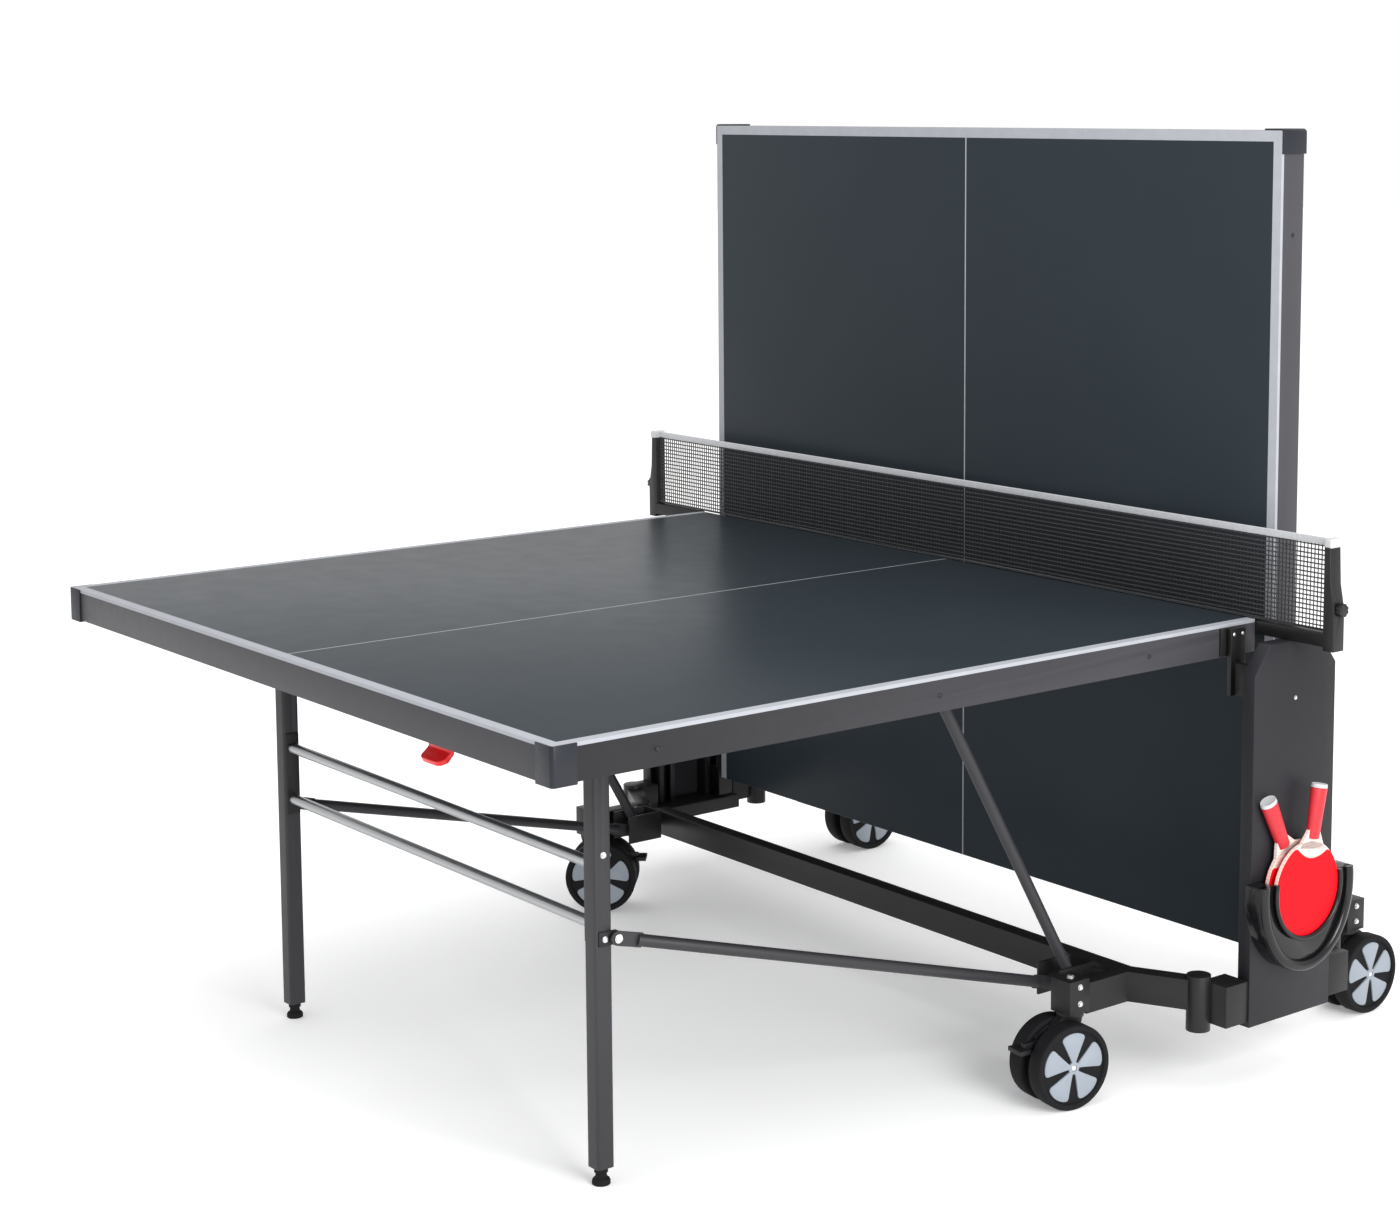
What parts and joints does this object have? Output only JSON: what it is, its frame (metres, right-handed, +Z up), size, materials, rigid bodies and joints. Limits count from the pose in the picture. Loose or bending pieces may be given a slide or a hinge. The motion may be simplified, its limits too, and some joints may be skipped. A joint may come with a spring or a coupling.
{
  "type": "folding table tennis table",
  "caption": "Folding outdoor table tennis table on a wheeled chassis: one half down, one upright, net, rackets in a side holder.",
  "frame": {"origin": "floor level, in the middle of the table's box as it stands with one half down", "axes": "+Z up, +Y from the half in play to the folded half, +X to the side that holds the rackets"},
  "size_m": [1.895, 1.804, 1.558],
  "materials": {
    "board_top": "matt resin-coated board, blue-grey",
    "apron_steel": "anthracite powder coat",
    "guard_plastic": "moulded, fine grain",
    "black_steel": "black powder coat",
    "leg_steel": "anthracite powder coat",
    "plate_steel": "anthracite powder coat",
    "zinc_tube": "zinc plated tube",
    "bolt_steel": "bright zinc",
    "foot_rubber": "black rubber",
    "red_plastic": "red, satin gloss",
    "carriage_plastic": "black glass-filled plastic",
    "net_hardware": "black plastic over steel",
    "net_cloth": "black knotted mesh with a white top tape",
    "holder_plastic": "black, glossy",
    "racket_rubber": "red rubber on a plywood blade",
    "caster_rubber": "black tread, grey five-petal hub",
    "caster_plastic": "black nylon"
  },
  "bodies": {
    "front_carriage": {"front_carriages": "carriage_plastic"},
    "front_half": {"front_top": "board_top", "front_apron": "apron_steel", "front_corner_guards": "guard_plastic", "front_underframe": "black_steel"},
    "front_release": {"front_release_shaft": "bolt_steel", "front_release_lever": "red_plastic"},
    "front_leg_frame": {"front_leg_left": "leg_steel", "front_leg_right": "leg_steel", "front_leg_brackets": "black_steel", "front_leg_crossbars": "zinc_tube", "front_leg_bolts": "bolt_steel"},
    "front_foot_left": {"front_foot_left": "foot_rubber"},
    "front_foot_right": {"front_foot_right": "foot_rubber"},
    "front_struts": {"front_leg_struts": "leg_steel"},
    "front_arms": {"front_swing_arms": "leg_steel"},
    "rear_carriage": {"rear_carriages": "carriage_plastic"},
    "rear_half": {"rear_top": "board_top", "rear_apron": "apron_steel", "rear_corner_guards": "guard_plastic", "rear_underframe": "black_steel"},
    "rear_release": {"rear_release_shaft": "bolt_steel", "rear_release_lever": "red_plastic"},
    "rear_leg_frame": {"rear_leg_left": "leg_steel", "rear_leg_right": "leg_steel", "rear_leg_brackets": "black_steel", "rear_leg_crossbars": "zinc_tube", "rear_leg_bolts": "bolt_steel"},
    "rear_foot_left": {"rear_foot_left": "foot_rubber"},
    "rear_foot_right": {"rear_foot_right": "foot_rubber"},
    "rear_struts": {"rear_leg_struts": "leg_steel"},
    "rear_arms": {"rear_swing_arms": "leg_steel"},
    "caster_front_left": {"caster_housing_front_left": "caster_plastic"},
    "wheels_front_left": {"caster_wheels_front_left": "caster_rubber"},
    "caster_front_right": {"caster_housing_front_right": "caster_plastic"},
    "wheels_front_right": {"caster_wheels_front_right": "caster_rubber"},
    "caster_rear_left": {"caster_housing_rear_left": "caster_plastic"},
    "wheels_rear_left": {"caster_wheels_rear_left": "caster_rubber"},
    "caster_rear_right": {"caster_housing_rear_right": "caster_plastic"},
    "wheels_rear_right": {"caster_wheels_rear_right": "caster_rubber"},
    "brake_front_left": {"caster_brake_front_left": "caster_plastic"},
    "brake_front_right": {"caster_brake_front_right": "caster_plastic"},
    "net_knob_left": {"net_knob_left": "net_hardware"},
    "net_knob_right": {"net_knob_right": "net_hardware"},
    "rear_racket": {"rear_racket": "racket_rubber"},
    "front_racket": {"front_racket": "racket_rubber"},
    "chassis": {"side_plate_left": "plate_steel", "side_frame_left": "black_steel", "net_post_left": "net_hardware", "racket_holder_left": "holder_plastic", "side_plate_right": "plate_steel", "side_frame_right": "black_steel", "net_post_right": "net_hardware", "racket_holder_right": "holder_plastic", "slide_rails": "black_steel", "front_beam": "black_steel", "rear_beam": "black_steel", "chassis_bolts": "bolt_steel", "net": "net_cloth"}
  },
  "joints": [
    {"name": "front_carriage_slide", "type": "slide", "parent": "chassis", "child": "front_carriage", "axis": [0, 0, -1], "range_m": [0, 0.497]},
    {"name": "front_fold", "type": "hinge", "parent": "front_carriage", "child": "front_half", "pos_m": [0, 0.411, 0.742], "axis": [-1, 0, 0], "range_deg": [0, 90]},
    {"name": "front_leg_fold", "type": "hinge", "parent": "front_half", "child": "front_leg_frame", "pos_m": [0, -0.639, 0.723], "axis": [1, 0, 0], "range_deg": [0, 90]},
    {"name": "front_strut_swing", "type": "hinge", "parent": "front_leg_frame", "child": "front_struts", "pos_m": [0, -0.622, 0.38], "axis": [-1, 0, 0], "range_deg": [0, 91.75]},
    {"name": "front_arm_swing", "type": "hinge", "parent": "front_half", "child": "front_arms", "pos_m": [0, -0.119, 0.725], "axis": [1, 0, 0], "range_deg": [0, 41.92]},
    {"name": "front_foot_left_screw", "type": "slide", "parent": "front_leg_frame", "child": "front_foot_left", "axis": [0, 0, -1], "range_m": [0, 0.012]},
    {"name": "front_foot_right_screw", "type": "slide", "parent": "front_leg_frame", "child": "front_foot_right", "axis": [0, 0, -1], "range_m": [0, 0.012]},
    {"name": "front_release_pull", "type": "hinge", "parent": "front_half", "child": "front_release", "pos_m": [0, -0.851, 0.72], "axis": [1, 0, 0], "range_deg": [0, 20], "stiffness_Nm_per_rad": 1.2},
    {"name": "rear_carriage_slide", "type": "slide", "parent": "chassis", "child": "rear_carriage", "axis": [0, 0, 1], "range_m": [0, 0.497]},
    {"name": "rear_fold", "type": "hinge", "parent": "rear_carriage", "child": "rear_half", "pos_m": [0, 0.531, 0.245], "axis": [-1, 0, 0], "range_deg": [0, 90]},
    {"name": "rear_leg_fold", "type": "hinge", "parent": "rear_half", "child": "rear_leg_frame", "pos_m": [0, 0.55, 1.295], "axis": [1, 0, 0], "range_deg": [0, 90]},
    {"name": "rear_strut_swing", "type": "hinge", "parent": "rear_leg_frame", "child": "rear_struts", "pos_m": [0, 0.533, 0.952], "axis": [-1, 0, 0], "range_deg": [0, 91.75]},
    {"name": "rear_arm_swing", "type": "hinge", "parent": "rear_half", "child": "rear_arms", "pos_m": [0, 0.548, 0.775], "axis": [1, 0, 0], "range_deg": [0, 41.92]},
    {"name": "rear_foot_left_screw", "type": "slide", "parent": "rear_leg_frame", "child": "rear_foot_left", "axis": [0, 0, -1], "range_m": [0, 0.012]},
    {"name": "rear_foot_right_screw", "type": "slide", "parent": "rear_leg_frame", "child": "rear_foot_right", "axis": [0, 0, -1], "range_m": [0, 0.012]},
    {"name": "rear_release_pull", "type": "hinge", "parent": "rear_half", "child": "rear_release", "pos_m": [0, 0.553, 1.507], "axis": [1, 0, 0], "range_deg": [0, 20], "stiffness_Nm_per_rad": 1.2},
    {"name": "caster_swivel_front_left", "type": "hinge", "parent": "chassis", "child": "caster_front_left", "pos_m": [-0.684, 0.131, 0.15], "axis": [0, 0, 1], "continuous": true},
    {"name": "wheel_spin_front_left", "type": "hinge", "parent": "caster_front_left", "child": "wheels_front_left", "pos_m": [-0.67022, 0.14685, 0.07], "axis": [-0.7547, 0.6561, 0], "continuous": true},
    {"name": "brake_press_front_left", "type": "hinge", "parent": "caster_front_left", "child": "brake_front_left", "pos_m": [-0.64792, 0.17251, 0.106], "axis": [-0.7547, 0.6561, 0], "range_deg": [0, 10]},
    {"name": "caster_swivel_front_right", "type": "hinge", "parent": "chassis", "child": "caster_front_right", "pos_m": [0.684, 0.131, 0.15], "axis": [0, 0, 1], "continuous": true},
    {"name": "wheel_spin_front_right", "type": "hinge", "parent": "caster_front_right", "child": "wheels_front_right", "pos_m": [0.68108, 0.1102, 0.07], "axis": [0.9903, -0.1392, 0], "continuous": true},
    {"name": "brake_press_front_right", "type": "hinge", "parent": "caster_front_right", "child": "brake_front_right", "pos_m": [0.67634, 0.07654, 0.106], "axis": [0.9903, -0.1392, 0], "range_deg": [0, 10]},
    {"name": "caster_swivel_rear_left", "type": "hinge", "parent": "chassis", "child": "caster_rear_left", "pos_m": [-0.684, 0.811, 0.15], "axis": [0, 0, 1], "continuous": true},
    {"name": "wheel_spin_rear_left", "type": "hinge", "parent": "caster_rear_left", "child": "wheels_rear_left", "pos_m": [-0.684, 0.832, 0.07], "axis": [1, 0, 0], "continuous": true},
    {"name": "caster_swivel_rear_right", "type": "hinge", "parent": "chassis", "child": "caster_rear_right", "pos_m": [0.684, 0.811, 0.15], "axis": [0, 0, 1], "continuous": true},
    {"name": "wheel_spin_rear_right", "type": "hinge", "parent": "caster_rear_right", "child": "wheels_rear_right", "pos_m": [0.684, 0.832, 0.07], "axis": [1, 0, 0], "continuous": true},
    {"name": "net_tension_left", "type": "hinge", "parent": "chassis", "child": "net_knob_left", "pos_m": [-0.915, 0.471, 0.8], "axis": [-1, 0, 0], "continuous": true},
    {"name": "net_tension_right", "type": "hinge", "parent": "chassis", "child": "net_knob_right", "pos_m": [0.915, 0.471, 0.8], "axis": [1, 0, 0], "continuous": true},
    {"name": "rear_racket_lift", "type": "slide", "parent": "chassis", "child": "rear_racket", "axis": [0, 0, 1], "range_m": [0, 0.17]},
    {"name": "front_racket_lift", "type": "slide", "parent": "chassis", "child": "front_racket", "axis": [0, 0, 1], "range_m": [0, 0.17]}
  ],
  "couplings": [
    {"joint": "front_carriage_slide", "follows": "front_fold", "m_per_rad": 0.3164},
    {"joint": "front_leg_fold", "follows": "front_fold", "ratio": 1},
    {"joint": "front_strut_swing", "follows": "front_fold", "ratio": 1.0194},
    {"joint": "front_arm_swing", "follows": "front_fold", "ratio": 0.46575},
    {"joint": "rear_carriage_slide", "follows": "rear_fold", "m_per_rad": 0.3164},
    {"joint": "rear_leg_fold", "follows": "rear_fold", "ratio": 1},
    {"joint": "rear_strut_swing", "follows": "rear_fold", "ratio": 1.0194},
    {"joint": "rear_arm_swing", "follows": "rear_fold", "ratio": 0.46575}
  ]
}
